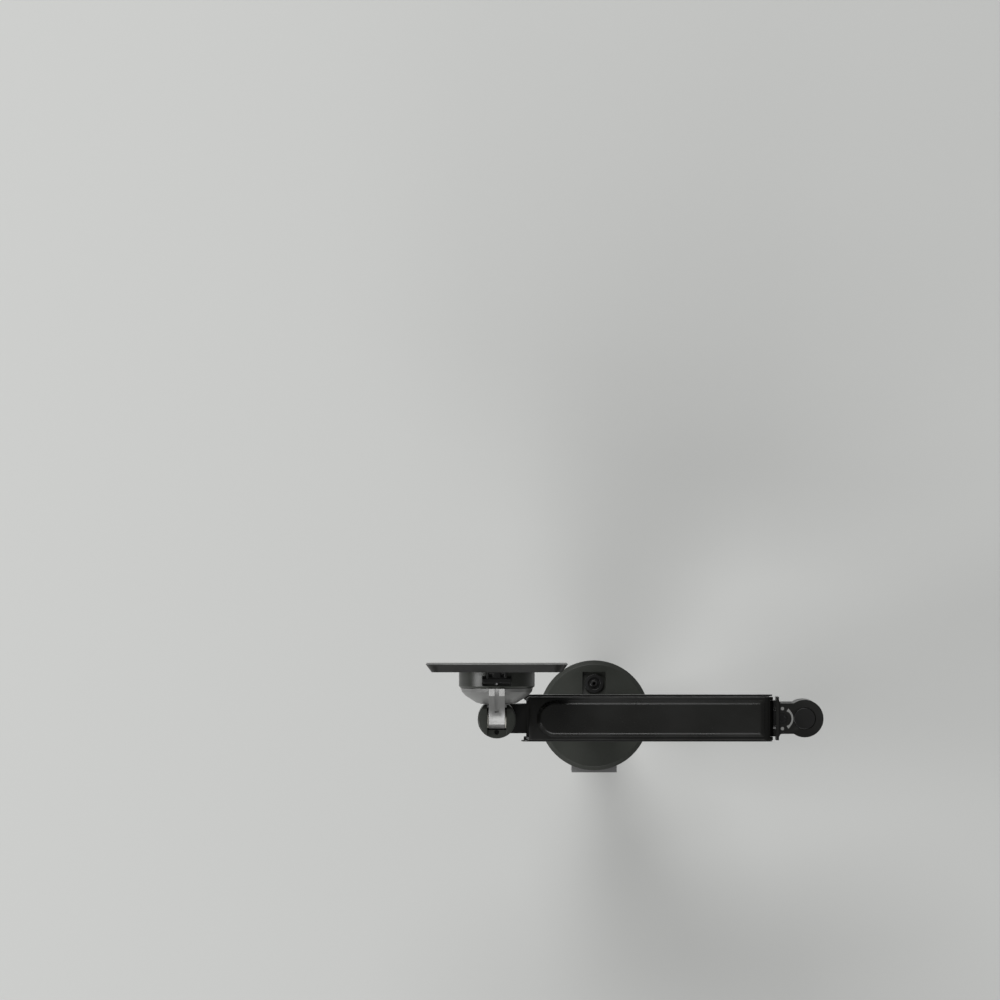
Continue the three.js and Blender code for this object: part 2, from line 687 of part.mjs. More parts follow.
function frontKnuckle() {
  const { barrelR, barrelBottom, barrelTop, neckHalf, neckTop } = HEAD;
  const { ears, holes } = knuckleEars([25, 28], [LOWER_PIN_Z + 0.5, UPPER_PIN_Z + 7]);
  const body = join(
    upright(barrelR, barrelBottom, barrelTop),
    box([-25.5, 0], [-neckHalf, neckHalf], [131, neckTop]),
    mirrored(ears),
  );
  return cut(
    body,
    upright(SPINDLE_R + 1.6, 140, barrelTop + 1),
    upright(11.5, barrelBottom - 1, 141),
    ...holes.map(mirrored),
  );
}

function panNut() {
  return cut(upright(9, 131, 137.2, { sides: 6 }), upright(5.3, 120, 150));
}

function panSpindle() {
  return join(upright(SPINDLE_R, 141, 189.5), upright(5, 131, 142));
}

// The space that the tilting dish passes through below the clevis's front.
function dishSweep() {
  const margin = 0.8;
  const { rear, front, bowl } = DISH;
  const wider = bowl.map(([radius, depth]) => [radius + margin, depth - margin / 2]);
  const whole = turnedForward([[0, rear - margin], [bowl[0][0], rear - margin], ...wider, [0, front]], 32);
  return join(...DOWNWARD_TILTS.map((tilt) => whole.rotate([tilt, 0, 0])));
}

function panHead() {
  const { bottom, above, slotHalf, slotDepth, frontCut } = CLEVIS;
  const top = TILT_Z + above;
  const blank = cut(
    turned([[0, bottom], [16.2, bottom], [16.2, top - 1], [15.2, top], [0, top]]),
    box([-20, 20], [-30, -frontCut], [bottom - 1, top + 1]),
  );
  const sweep = dishSweep().translate([0, 0, TILT_Z]);
  const rounding = lengthways(frontCut, [0, TILT_Z], [-21, 21], 48);
  const upperFront = cut(box([-20, 20], [-30, 0], [TILT_Z, top + 1]), rounding);
  return cut(
    blank,
    sweep,
    upperFront,
    box([-slotHalf, slotHalf], [-30, 8.9], [TILT_Z - slotDepth, top + 1]),
    box([-slotHalf, slotHalf], [8, 30], [TILT_Z + 2, top + 1]),
    lengthways(PIN_R + GAP, [0, TILT_Z], [-30, 30]),
    lengthways(6.6, [0, TILT_Z], [12, 30]),
    lengthways(6.6, [0, TILT_Z], [-30, -12]),
    upright(SPINDLE_R + GAP, bottom - 1, 190),
    upright(2.2, TILT_Z - 3, TILT_Z + 5, { y: 10.9 }),
  );
}

function tiltBolt() {
  const head = lengthways(6.2, [0, TILT_Z], [12.3, 15.4]);
  const socket = lengthways(2.9, [0, TILT_Z], [13.6, 17], 6);
  return cut(join(head, lengthways(PIN_R, [0, TILT_Z], [-15, 12.6])), socket);
}

function tiltNut() {
  const nut = lengthways(6.2, [0, TILT_Z], [-15, -12.3], 6);
  return cut(nut, lengthways(PIN_R + GAP, [0, TILT_Z], [-20, -10]));
}

function frontKnuckleGroup() {
  const group = groupAt(HEAD_X, 0, 0);
  add(group, 'front_knuckle', frontKnuckle(), FINISH.blackPaint);
  add(group, 'front_pin_upper', across(PIN_R, [-PIVOT_INSET, UPPER_PIN_Z], [-18.2, 18.2]), FINISH.steel);
  add(group, 'front_pin_lower', across(PIN_R, [-PIVOT_INSET, LOWER_PIN_Z], [-19.8, 19.8]), FINISH.steel);
  add(group, 'pan_bush', ring(SPINDLE_R + GAP, SPINDLE_R + 1.3, 142, 170.7), FINISH.bronze);
  add(group, 'pan_washer', ring(5.3, 11, 137.6, 139.6), FINISH.steel);
  add(group, 'pan_nut', panNut(), FINISH.steel);
  add(group, 'pan_spindle', panSpindle(), FINISH.steel);
  add(group, 'pan_head', panHead(), FINISH.greyPaint);
  add(group, 'tilt_bolt', tiltBolt(), FINISH.steel);
  add(group, 'tilt_nut', tiltNut(), FINISH.steel);
  return group;
}

// ---- Tilting head, drawn from the crossing of the pan and tilt axes ----

function tiltBracket() {
  const { halfWidth, endR } = TONGUE;
  const { rear, front, bowl } = DISH;
  const dish = turnedForward([[0, rear], ...bowl, [0, front]]);
  const hollow = turnedForward([[0, 17.2], [16.5, 17.2], [24, 21.8], [28, front + 1], [0, front + 1]]);
  const boss = turnedForward([[0, rear + 2], [9, rear + 2], [9, front - 1.8], [0, front - 1.8]], 24);
  const tongue = join(
    lengthways(endR, [0, 0], [-halfWidth, halfWidth]),
    box([-halfWidth, halfWidth], [-rear - 2, 0], [-7, endR]),
  );
  const gusset = endways(
    planShape([
      [0, endR], [-rear, 19.5], [-20.2, 28], [-front, 31.4],
      [-front, 26.6], [-rear - 1, 10], [-rear - 1, 0], [0, 0],
    ]),
    [-halfWidth, halfWidth],
  );
  const groove = endways(
    planShape([[-6, 40], [-6, 11.6], [-rear, 17.6], [-20.2, 25.8], [-front - 1, 30], [-front - 1, 40]]),
    [-1.7, 1.7],
  );
  const shell = cut(dish, hollow);
  return cut(
    join(shell, boss, tongue, gusset),
    groove,
    lengthways(PIN_R + GAP, [0, 0], [-20, 20]),
    turnedForward([[0, 8], [PIN_R + GAP, 8], [PIN_R + GAP, 50], [0, 50]], 12),
  );
}

function tiltWasher(side) {
  const near = TONGUE.halfWidth + 0.3;
  const far = CLEVIS.slotHalf - 0.3;
  const span = side > 0 ? [near, far] : [-far, -near];
  return cut(lengthways(7.5, [0, 0], span), lengthways(PIN_R + GAP, [0, 0], [-20, 20]));
}

function hubHousing() {
  const { rear, front, radius, pocketR, floor } = HUB;
  const { wideHalf, narrowHalf, step, bottom, travel } = LATCH;
  const body = turnedForward([
    [0, rear], [radius - 1.5, rear], [radius, rear + 1.5], [radius, front], [pocketR, front],
    [pocketR, floor], [8, floor], [8, floor - 0.1], [0, floor - 0.1],
  ]);
  const wide = wideHalf + 0.4;
  const narrow = narrowHalf + 0.3;
  const slotRear = LATCH.rear - travel - 0.4;
  return cut(
    body,
    turnedForward([[0, 0], [PIN_R + GAP, 0], [PIN_R + GAP, 60], [0, 60]], 12),
    box([-wide, wide], [-step - travel - 0.3, -slotRear], [bottom - GAP, 50]),
    box([-narrow, narrow], [-60, -step], [bottom - GAP, 50]),
  );
}

function rotationBolt() {
  const head = turnedForward([[0, HUB.floor + GAP], [7, HUB.floor + GAP], [7, 36], [0, 36]], 24);
  const shank = turnedForward([[0, 9], [PIN_R, 9], [PIN_R, 33], [0, 33]], 12);
  const socket = turnedForward([[0, 34], [2.9, 34], [2.9, 40], [0, 40]], 6);
  return cut(join(head, shank), socket);
}

function rotationWasher() {
  const near = DISH.front - 1.5;
  const far = HUB.rear - GAP;
  const bore = PIN_R + GAP;
  return turnedForward([[bore, near], [20, near], [20, far], [bore, far], [bore, near]], 32);
}

function vesaLatch() {
  const { wideHalf, narrowHalf, rear, step, tip, bottom, top } = LATCH;
  const body = join(
    box([-wideHalf, wideHalf], [-step, -rear], [bottom, top]),
    box([-narrowHalf, narrowHalf], [-tip, -step + 1], [bottom, top - 0.6]),
  );
  const pits = [-1, 1].map((side) => {
    const x = [side * 4.8 - 1.6, side * 4.8 + 1.6];
    return box(x, [-39.4, -36.2], [top - 3, top + 1]);
  });
  return cut(body, ...pits, across(2.2, [0, 30], [-rear - 3.6, -rear + 1]));
}

function latchSpring() {
  const rear = LATCH.rear - LATCH.travel - 0.1;
  const span = [-LATCH.rear - 1.3, -rear - GAP];
  return cut(across(1.8, [0, 30], span), across(1.1, [0, 30], [-40, -20]));
}

function vesaPlate() {
  const { rear, front, side, bevel, wall, bossR, corner } = PLATE;
  const half = side / 2;
  const depth = front - rear;
  const outline = (inset, r) => {
    const reach = half - inset;
    return roundedRectangle(-reach, reach, -reach, reach, r);
  };
  const tray = (inset, taper, from, to) => {
    const geometry = new THREE.ExtrudeGeometry(outline(inset + taper, corner), {
      depth: 1, bevelEnabled: true, bevelThickness: to - from, bevelSize: taper, bevelSegments: 1,
      curveSegments: 6,
    });
    const block = toSolid(geometry.translate(0, 0, from - rear - 1));
    return cut(block, box([-90, 90], [-90, 90], [-30, from - rear]));
  };
  const solid = tray(0, bevel, rear, front);
  const hollow = tray(wall, bevel, rear + wall, front + 3);
  const holes = [50, 37.5].flatMap((reach) => [-1, 1].flatMap((a) => [-1, 1].map((b) => (
    upright(2.6, -5, 20, { x: a * reach, y: b * reach })
  ))));
  const boss = upright(bossR, wall - 1, depth);
  const { narrowHalf, bottom, top } = LATCH;
  const standing = join(cut(solid, hollow), boss).rotate([-90, 0, 0]).translate([0, -front, 0]);
  const drills = join(...holes).rotate([-90, 0, 0]).translate([0, -front, 0]);
  return cut(
    standing,
    drills,
    turnedForward([[0, 30], [9, 30], [9, 60], [0, 60]], 24),
    box([-narrowHalf - 0.4, narrowHalf + 0.4], [-LATCH.tip - 0.5, -rear + 1], [bottom - 0.4, top + 0.4]),
  );
}

function headGroup() {
  const group = groupAt(HEAD_X, 0, TILT_Z);
  add(group, 'tilt_bracket', tiltBracket(), FINISH.silver);
  add(group, 'tilt_washer_left', tiltWasher(1), FINISH.nylon);
  add(group, 'tilt_washer_right', tiltWasher(-1), FINISH.nylon);
  add(group, 'rotation_washer', rotationWasher(), FINISH.nylon);
  add(group, 'hub_housing', hubHousing(), FINISH.greyPaint);
  add(group, 'rotation_bolt', rotationBolt(), FINISH.steel);
  add(group, 'vesa_latch', vesaLatch(), FINISH.blackPlastic);
  add(group, 'latch_spring', latchSpring(), FINISH.steel);
  add(group, 'vesa_plate', vesaPlate(), FINISH.blackPaint);
  return group;
}

// ---- The whole arm ----

const monitorArm = new THREE.Group();
const builders = [
  baseGroup, clampGroup, lowerArmGroup, elbowGroup, upperArmGroup, frontKnuckleGroup, headGroup,
];
builders.forEach((build) => monitorArm.add(build()));

export default monitorArm;
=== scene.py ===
"""Looks of a desk-clamped monitor arm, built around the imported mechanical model.

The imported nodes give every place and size. Each visible node is replaced by a copy whose edges are
broken and whose round faces are smooth, and pieces that a faceted solid can't show are made here:
the top cover, the printed adjustment marks, the screw threads and the coil spring. Lengths are in
metres, in the frame of the model.
"""

from __future__ import annotations

import json
import logging
import math
from dataclasses import dataclass, field
from enum import Enum
from typing import Callable, Iterable, Mapping, Sequence

import bmesh
import bpy
from mathutils import Matrix, Vector

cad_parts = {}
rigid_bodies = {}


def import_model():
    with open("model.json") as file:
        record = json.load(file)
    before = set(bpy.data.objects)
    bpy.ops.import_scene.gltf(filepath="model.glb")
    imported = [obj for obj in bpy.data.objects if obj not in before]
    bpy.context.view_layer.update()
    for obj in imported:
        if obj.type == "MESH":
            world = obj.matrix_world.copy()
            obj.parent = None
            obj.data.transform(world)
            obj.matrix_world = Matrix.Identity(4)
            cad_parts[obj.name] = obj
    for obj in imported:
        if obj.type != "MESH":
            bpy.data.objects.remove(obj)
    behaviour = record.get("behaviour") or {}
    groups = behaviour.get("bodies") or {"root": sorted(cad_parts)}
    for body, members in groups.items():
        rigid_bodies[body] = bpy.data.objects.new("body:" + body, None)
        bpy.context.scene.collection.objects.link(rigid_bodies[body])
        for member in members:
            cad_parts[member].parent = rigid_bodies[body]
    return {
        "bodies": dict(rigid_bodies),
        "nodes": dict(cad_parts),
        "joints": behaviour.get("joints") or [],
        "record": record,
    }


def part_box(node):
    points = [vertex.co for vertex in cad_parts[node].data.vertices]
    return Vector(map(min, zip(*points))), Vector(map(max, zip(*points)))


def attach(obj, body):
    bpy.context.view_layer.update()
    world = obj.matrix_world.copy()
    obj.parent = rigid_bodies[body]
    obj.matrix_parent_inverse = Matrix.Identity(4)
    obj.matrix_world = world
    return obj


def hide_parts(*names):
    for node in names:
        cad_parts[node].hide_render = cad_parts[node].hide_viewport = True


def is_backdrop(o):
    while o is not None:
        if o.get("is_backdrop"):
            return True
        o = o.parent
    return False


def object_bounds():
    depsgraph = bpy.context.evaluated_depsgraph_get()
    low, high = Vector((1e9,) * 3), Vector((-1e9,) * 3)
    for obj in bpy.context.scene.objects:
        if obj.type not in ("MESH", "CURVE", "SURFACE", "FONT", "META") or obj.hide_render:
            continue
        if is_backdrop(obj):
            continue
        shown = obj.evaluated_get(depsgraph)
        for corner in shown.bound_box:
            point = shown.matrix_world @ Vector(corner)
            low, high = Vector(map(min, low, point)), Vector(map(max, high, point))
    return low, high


LOG = logging.getLogger("monitor_arm")

MM = 0.001
MERGE_DISTANCE = 1e-6
FLAT_ANGLE = math.radians(0.6)
EDGE_ANGLE = math.radians(34)
SMOOTH_ANGLE = math.radians(38)
COVER_SMOOTH_ANGLE = math.radians(24)
LATHE_SIDES = 48
MARK_STEPS = 28
DUST_COLOUR = (0.32, 0.31, 0.29, 1.0)
FLOOR_COLOUR = (0.52, 0.525, 0.515, 1.0)
ROOM_COLOUR = (0.99, 1.0, 0.985, 1.0)

Profile = Sequence[tuple[float, float]]


# ---- Shader node groups that several finishes share ----


def group_socket(tree: bpy.types.NodeTree, name: str, kind: str, default: float | None = None) -> None:
    """Adds a named input to a node group.

    Args:
        tree: The node group.
        name: The socket's name.
        kind: The socket's type without its prefix, such as Float.
        default: The value it starts with, if it has one.
    """
    socket = tree.interface.new_socket(name=name, in_out="INPUT", socket_type=f"NodeSocket{kind}")
    if default is not None:
        socket.default_value = default


def new_shader_group(name: str, outputs: Mapping[str, str]) -> bpy.types.NodeTree:
    """Starts a shader node group that takes a position.

    Args:
        name: The group's name.
        outputs: The type of each output, by name.

    Returns:
        The group, with its input and output nodes in place.
    """
    tree = bpy.data.node_groups.new(name, "ShaderNodeTree")
    group_socket(tree, "Position", "Vector")
    for label, kind in outputs.items():
        tree.interface.new_socket(name=label, in_out="OUTPUT", socket_type=f"NodeSocket{kind}")
    tree.nodes.new("NodeGroupInput")
    tree.nodes.new("NodeGroupOutput")
    return tree


def noise(tree: bpy.types.NodeTree, position: bpy.types.NodeSocket, scale: float | bpy.types.NodeSocket,
          detail: float = 2.0) -> bpy.types.NodeSocket:
    """Adds a noise texture.

    Args:
        tree: The tree that it goes in.
        position: Where the pattern is read.
        scale: Features per metre, as a number or a socket.
        detail: Octaves of finer noise.

    Returns:
        The noise value, from 0 to 1.
    """
    node = tree.nodes.new("ShaderNodeTexNoise")
    node.inputs["Detail"].default_value = detail
    tree.links.new(position, node.inputs["Vector"])
    if isinstance(scale, bpy.types.NodeSocket):
        tree.links.new(scale, node.inputs["Scale"])
    else:
        node.inputs["Scale"].default_value = scale
    return node.outputs["Fac"]


def spread(tree: bpy.types.NodeTree, value: bpy.types.NodeSocket, low: float, high: float,
           start: float = 0.3, end: float = 0.7) -> bpy.types.NodeSocket:
    """Maps a value from one range to another.

    Args:
        tree: The tree that the node goes in.
        value: The value to map.
        low: Result at start.
        high: Result at end.
        start: Value that gives low.
        end: Value that gives high.

    Returns:
        The mapped value.
    """
    node = tree.nodes.new("ShaderNodeMapRange")
    node.inputs["From Min"].default_value = start
    node.inputs["From Max"].default_value = end
    node.inputs["To Min"].default_value = low
    node.inputs["To Max"].default_value = high
    tree.links.new(value, node.inputs["Value"])
    return node.outputs["Result"]


def combined(tree: bpy.types.NodeTree, operation: str, first: bpy.types.NodeSocket,
             second: bpy.types.NodeSocket | float) -> bpy.types.NodeSocket:
    """Joins two values with a maths node.

    Args:
        tree: The tree that the node goes in.
        operation: The node's operation, such as MULTIPLY.
        first: First value.
        second: Second value, as a socket or a number.

    Returns:
        The result.
    """
    node = tree.nodes.new("ShaderNodeMath")
    node.operation = operation
    tree.links.new(first, node.inputs[0])
    if isinstance(second, bpy.types.NodeSocket):
        tree.links.new(second, node.inputs[1])
    else:
        node.inputs[1].default_value = second
    return node.outputs["Value"]


def grain_group() -> bpy.types.NodeTree:
    """Builds the fine skin of paint, moulded plastic and cast metal: a height and a tone."""
    tree = new_shader_group("surface_grain", {"Height": "Float", "Tone": "Float"})
    group_socket(tree, "Grain Scale", "Float", 1500.0)
    group_socket(tree, "Speckle", "Float", 0.3)
    source, sink = tree.nodes["Group Input"], tree.nodes["Group Output"]
    position = source.outputs["Position"]
    fine = noise(tree, position, source.outputs["Grain Scale"], 3.0)
    coarse_scale = combined(tree, "MULTIPLY", source.outputs["Grain Scale"], 0.28)
    coarse = noise(tree, position, coarse_scale, 1.0)
    waves = combined(tree, "MULTIPLY", coarse, 0.6)
    tree.links.new(combined(tree, "ADD", fine, waves), sink.inputs["Height"])
    centred = combined(tree, "SUBTRACT", fine, 0.5)
    speckle = combined(tree, "MULTIPLY", centred, source.outputs["Speckle"])
    tree.links.new(combined(tree, "ADD", speckle, 0.5), sink.inputs["Tone"])
    return tree


def handling_group() -> bpy.types.NodeTree:
    """Builds the marks of use: soft cloudy smudges and sparse dust, each from 0 to 1."""
    tree = new_shader_group("handling_marks", {"Smudge": "Float", "Dust": "Float"})
    group_socket(tree, "Cloud Scale", "Float", 22.0)
    source, sink = tree.nodes["Group Input"], tree.nodes["Group Output"]
    position = source.outputs["Position"]
    cloud = noise(tree, position, source.outputs["Cloud Scale"], 5.0)
    tree.links.new(spread(tree, cloud, 0.0, 1.0, 0.35, 0.68), sink.inputs["Smudge"])
    specks = noise(tree, position, 900.0, 1.0)
    tree.links.new(spread(tree, specks, 0.0, 1.0, 0.7, 0.78), sink.inputs["Dust"])
    return tree


def tooling_group() -> bpy.types.NodeTree:
    """Builds the fine lines that a lathe or a brush leaves across one axis, as a height from 0 to 1."""
    tree = new_shader_group("tooling_lines", {"Height": "Float"})
    group_socket(tree, "Lines Per Metre", "Float", 2500.0)
    source, sink = tree.nodes["Group Input"], tree.nodes["Group Output"]
    mapping = tree.nodes.new("ShaderNodeVectorMath")
    mapping.operation = "MULTIPLY"
    mapping.inputs[1].default_value = (0.02, 0.02, 1.0)
    tree.links.new(source.outputs["Position"], mapping.inputs[0])
    lines = noise(tree, mapping.outputs["Vector"], source.outputs["Lines Per Metre"], 2.0)
    tree.links.new(lines, sink.inputs["Height"])
    return tree


# ---- Finishes ----


class Skin(Enum):
    """How a finish's surface is worked."""

    POWDER = "powder coat"
    MOULDED = "moulded"
    CAST = "cast and polished"
    TURNED = "turned or brushed"


@dataclass(frozen=True)
class Finish:
    """One finish of the arm, and the recipe of its material."""

    slot: str
    colour: tuple[float, float, float]
    roughness: float
    skin: Skin
    metallic: float = 0.0
    grain_scale: float = 1500.0
    grain_depth: float = 0.007 * MM
    tone_spread: float = 0.25
    smudge: float = 0.08
    dust: float = 0.0
    gloss: float = 0.4

    def material(self) -> bpy.types.Material:
        """Builds the finish's material, or returns it if it is already there."""
        name = f"{self.slot}_finish"
        known = bpy.data.materials.get(name)
        if known is not None:
            return known
        material = bpy.data.materials.new(name)
        material.use_nodes = True
        tree = material.node_tree
        shader = tree.nodes["Principled BSDF"]
        shader.inputs["Metallic"].default_value = self.metallic
        shader.inputs["Specular IOR Level"].default_value = self.gloss
        position = tree.nodes.new("ShaderNodeTexCoord").outputs["Object"]
        grain = self._group(tree, GRAIN, position, {"Grain Scale": self.grain_scale, "Speckle": 0.8})
        marks = self._group(tree, HANDLING, position, {})
        self._link_colour(tree, shader, grain, marks)
        self._link_roughness(tree, shader, marks)
        self._link_bump(tree, shader, grain, position)
        material.diffuse_color = (*self.colour, 1.0)
        return material

    def _group(self, tree: bpy.types.NodeTree, group: bpy.types.NodeTree, position: bpy.types.NodeSocket,
               values: Mapping[str, float]) -> bpy.types.Node:
        """Places a shared node group in the material.

        Args:
            tree: The material's tree.
            group: The shared group.
            position: The position that the group reads.
            values: The group's own input values.

        Returns:
            The group node.
        """
        node = tree.nodes.new("ShaderNodeGroup")
        node.node_tree = group
        tree.links.new(position, node.inputs["Position"])
        for name, value in values.items():
            node.inputs[name].default_value = value
        return node

    def _link_colour(self, tree: bpy.types.NodeTree, shader: bpy.types.Node, grain: bpy.types.Node,
                     marks: bpy.types.Node) -> None:
        """Varies the colour with the grain, and lays a little dust on it.

        Args:
            tree: The material's tree.
            shader: The material's shader.
            grain: The grain group node.
            marks: The handling group node.
        """
        shades = tree.nodes.new("ShaderNodeMix")
        shades.data_type = "RGBA"
        low, high = 1.0 - self.tone_spread, 1.0 + self.tone_spread
        shades.inputs["A"].default_value = (*(c * low for c in self.colour), 1.0)
        shades.inputs["B"].default_value = (*(min(c * high, 1.0) for c in self.colour), 1.0)
        tree.links.new(grain.outputs["Tone"], shades.inputs["Factor"])
        dusted = tree.nodes.new("ShaderNodeMix")
        dusted.data_type = "RGBA"
        dusted.inputs["B"].default_value = DUST_COLOUR
        tree.links.new(shades.outputs["Result"], dusted.inputs["A"])
        amount = combined(tree, "MULTIPLY", marks.outputs["Dust"], self.dust)
        tree.links.new(amount, dusted.inputs["Factor"])
        tree.links.new(dusted.outputs["Result"], shader.inputs["Base Color"])

    def _link_roughness(self, tree: bpy.types.NodeTree, shader: bpy.types.Node,
                        marks: bpy.types.Node) -> None:
        """Varies the roughness with the smudges.

        Args:
            tree: The material's tree.
            shader: The material's shader.
            marks: The handling group node.
        """
        low, high = self.roughness - self.smudge, self.roughness + self.smudge
        varied = spread(tree, marks.outputs["Smudge"], low, high, 0.0, 1.0)
        tree.links.new(varied, shader.inputs["Roughness"])

    def _link_bump(self, tree: bpy.types.NodeTree, shader: bpy.types.Node, grain: bpy.types.Node,
                   position: bpy.types.NodeSocket) -> None:
        """Gives the surface its fine relief.

        Args:
            tree: The material's tree.
            shader: The material's shader.
            grain: The grain group node.
            position: The position that a pattern reads.
        """
        height = grain.outputs["Height"]
        if self.skin is Skin.TURNED:
            lines = self._group(tree, TOOLING, position, {})
            height = combined(tree, "ADD", lines.outputs["Height"], combined(tree, "MULTIPLY", height, 0.2))
        bump = tree.nodes.new("ShaderNodeBump")
        bump.inputs["Strength"].default_value = 0.35 if self.skin is Skin.CAST else 0.6
        bump.inputs["Distance"].default_value = self.grain_depth
        tree.links.new(height, bump.inputs["Height"])
        tree.links.new(bump.outputs["Normal"], shader.inputs["Normal"])


GRAIN = grain_group()
HANDLING = handling_group()
TOOLING = tooling_group()

FINISHES = {
    finish.slot: finish
    for finish in (
        Finish("black_paint", (0.0060, 0.0060, 0.0054), 0.36, Skin.POWDER, dust=0.04),
        Finish("grey_paint", (0.026, 0.028, 0.024), 0.36, Skin.POWDER, dust=0.04),
        Finish("clamp_silver", (0.24, 0.24, 0.24), 0.36, Skin.POWDER, metallic=0.75, grain_scale=1100.0),
        Finish("cast_silver", (0.22, 0.22, 0.216), 0.38, Skin.CAST, metallic=0.55, tone_spread=0.12,
               grain_depth=0.004 * MM, gloss=0.5),
        Finish("steel", (0.32, 0.32, 0.32), 0.30, Skin.TURNED, metallic=1.0,
               grain_depth=0.003 * MM, gloss=0.5),
        Finish("dark_steel", (0.055, 0.055, 0.055), 0.34, Skin.TURNED, metallic=1.0,
               grain_depth=0.003 * MM),
        Finish("bronze", (0.36, 0.22, 0.09), 0.45, Skin.CAST, metallic=0.9, grain_scale=2600.0, gloss=0.5),
        Finish("nylon", (0.60, 0.58, 0.52), 0.50, Skin.MOULDED, tone_spread=0.08),
        Finish("mark_ink", (0.16, 0.16, 0.156), 0.60, Skin.MOULDED, tone_spread=0.3, grain_scale=3000.0),
        Finish("black_plastic", (0.0030, 0.0030, 0.0028), 0.42, Skin.MOULDED, grain_scale=2400.0,
               grain_depth=0.004 * MM),
        Finish("cover_plastic", (0.0085, 0.0085, 0.0078), 0.30, Skin.MOULDED, grain_scale=2600.0,
               grain_depth=0.004 * MM, dust=0.03),
        Finish("rubber", (0.010, 0.010, 0.010), 0.85, Skin.MOULDED, grain_scale=1900.0,
               smudge=0.05, gloss=0.2),
    )
}


# ---- Mesh helpers ----


class Model:
    """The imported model, and what the record says of each node."""

    def __init__(self) -> None:
        """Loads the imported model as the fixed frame."""
        self.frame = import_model()
        self.size_before = [list(corner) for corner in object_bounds()]
        record = self.frame["record"]
        self.slots = {row["node"]: row["material_slot"] for row in record["subparts"]}
        bodies = record["behaviour"]["bodies"]
        self.bodies = {node: body for body, nodes in bodies.items() for node in nodes}

    def mesh(self, node: str) -> bpy.types.Mesh:
        """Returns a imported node's mesh, which stays as it is."""
        return self.frame["nodes"][node].data

    def centre(self, node: str) -> Vector:
        """Returns the middle of a node's box."""
        low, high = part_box(node)
        return (Vector(low) + Vector(high)) / 2

    def fit(self, piece: bpy.types.Object, node: str) -> None:
        """Lets a piece stand for a node: it rides on the node's body and takes the finish of the node's
        slot, and the node is hidden.

        Args:
            piece: The piece.
            node: The node that it replaces.
        """
        slot = self.slots[node]
        piece.data.materials.clear()
        piece.data.materials.append(FINISHES[slot].material())
        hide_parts(node)
        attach(piece, self.bodies[node])
        LOG.info("made %s on %s", piece.name, self.bodies[node])

    def add(self, piece: bpy.types.Object, body: str, finish: str, slot: str) -> None:
        """Puts a piece that replaces nothing on a body.

        Args:
            piece: The piece.
            body: The body that it rides on.
            finish: The finish that it takes.
            slot: The record's slot that comes nearest to it; not used.
        """
        piece.data.materials.clear()
        piece.data.materials.append(FINISHES[finish].material())
        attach(piece, body)
        LOG.info("made %s on %s", piece.name, body)


def new_piece(name: str, shape: bmesh.types.BMesh) -> bpy.types.Object:
    """Turns a mesh in the making into a piece at the origin.

    Args:
        name: The piece's name.
        shape: Its mesh, which is used up.

    Returns:
        The piece.
    """
    mesh = bpy.data.meshes.new(name)
    shape.to_mesh(mesh)
    shape.free()
    piece = bpy.data.objects.new(name, mesh)
    bpy.context.scene.collection.objects.link(piece)
    return piece


def set_in_mesh(piece: bpy.types.Object) -> None:
    """Turns a piece's modifiers into plain mesh.

    Args:
        piece: The piece, which loses its modifiers.
    """
    graph = bpy.context.evaluated_depsgraph_get()
    finished = bpy.data.meshes.new_from_object(piece.evaluated_get(graph), depsgraph=graph)
    rough = piece.data
    piece.modifiers.clear()
    piece.data = finished
    bpy.data.meshes.remove(rough)


def smooth(piece: bpy.types.Object, angle: float = SMOOTH_ANGLE) -> None:
    """Shades a piece smooth, except over edges sharper than an angle."""
    piece.data.shade_smooth()
    piece.data.set_sharp_from_angle(angle=angle)


def break_edges(piece: bpy.types.Object, width: float, segments: int = 2) -> None:
    """Rounds a piece's sharp edges a little, as paint, casting or deburring leaves them.

    Args:
        piece: The piece.
        width: How far the rounding reaches from the edge.
        segments: Steps in the rounding.
    """
    smooth(piece)
    bevel = piece.modifiers.new("edges", "BEVEL")
    bevel.width = width
    bevel.segments = segments
    bevel.limit_method = "ANGLE"
    bevel.angle_limit = EDGE_ANGLE
    bevel.harden_normals = True
    set_in_mesh(piece)


def refined(model: Model, node: str, width: float, segments: int = 2) -> bpy.types.Object:
    """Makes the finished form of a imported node: flat faces whole, edges broken, round faces smooth.

    Args:
        model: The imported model.
        node: The node.
        width: How far the rounding reaches from each sharp edge.
        segments: Steps in the rounding.

    Returns:
        The finished piece.
    """
    shape = bmesh.new()
    shape.from_mesh(model.mesh(node))
    bmesh.ops.remove_doubles(shape, verts=shape.verts, dist=MERGE_DISTANCE)
    bmesh.ops.dissolve_limit(shape, angle_limit=FLAT_ANGLE, verts=shape.verts, edges=shape.edges)
    bmesh.ops.dissolve_degenerate(shape, dist=10 * MERGE_DISTANCE, edges=shape.edges)
    piece = new_piece(f"{node}_finished", shape)
    break_edges(piece, width, segments)
    model.fit(piece, node)
    return piece


def lathe(profile: Profile, steps: int = LATHE_SIDES) -> bmesh.types.BMesh:
    """Turns a profile about the Z axis.

    Args:
        profile: Radius and height of each point, from the axis round to the axis again.
        steps: Sides of the turned shape.

    Returns:
        A closed mesh with its faces pointing out.
    """
    shape = bmesh.new()
    rings = []
    for radius, height in profile:
        if radius == 0:
            rings.append([shape.verts.new((0, 0, height))])
            continue
        ring = []
        for step in range(steps):
            angle = 2 * math.pi * step / steps
            ring.append(shape.verts.new((radius * math.cos(angle), radius * math.sin(angle), height)))
        rings.append(ring)
    for first, second in zip(rings, rings[1:]):
        for step in range(steps):
            after = (step + 1) % steps
            corners = [first[step % len(first)], first[after % len(first)],
                       second[after % len(second)], second[step % len(second)]]
            unique = list(dict.fromkeys(corners))
            if len(unique) > 2:
                shape.faces.new(unique)
    bmesh.ops.recalc_face_normals(shape, faces=shape.faces)
    return shape


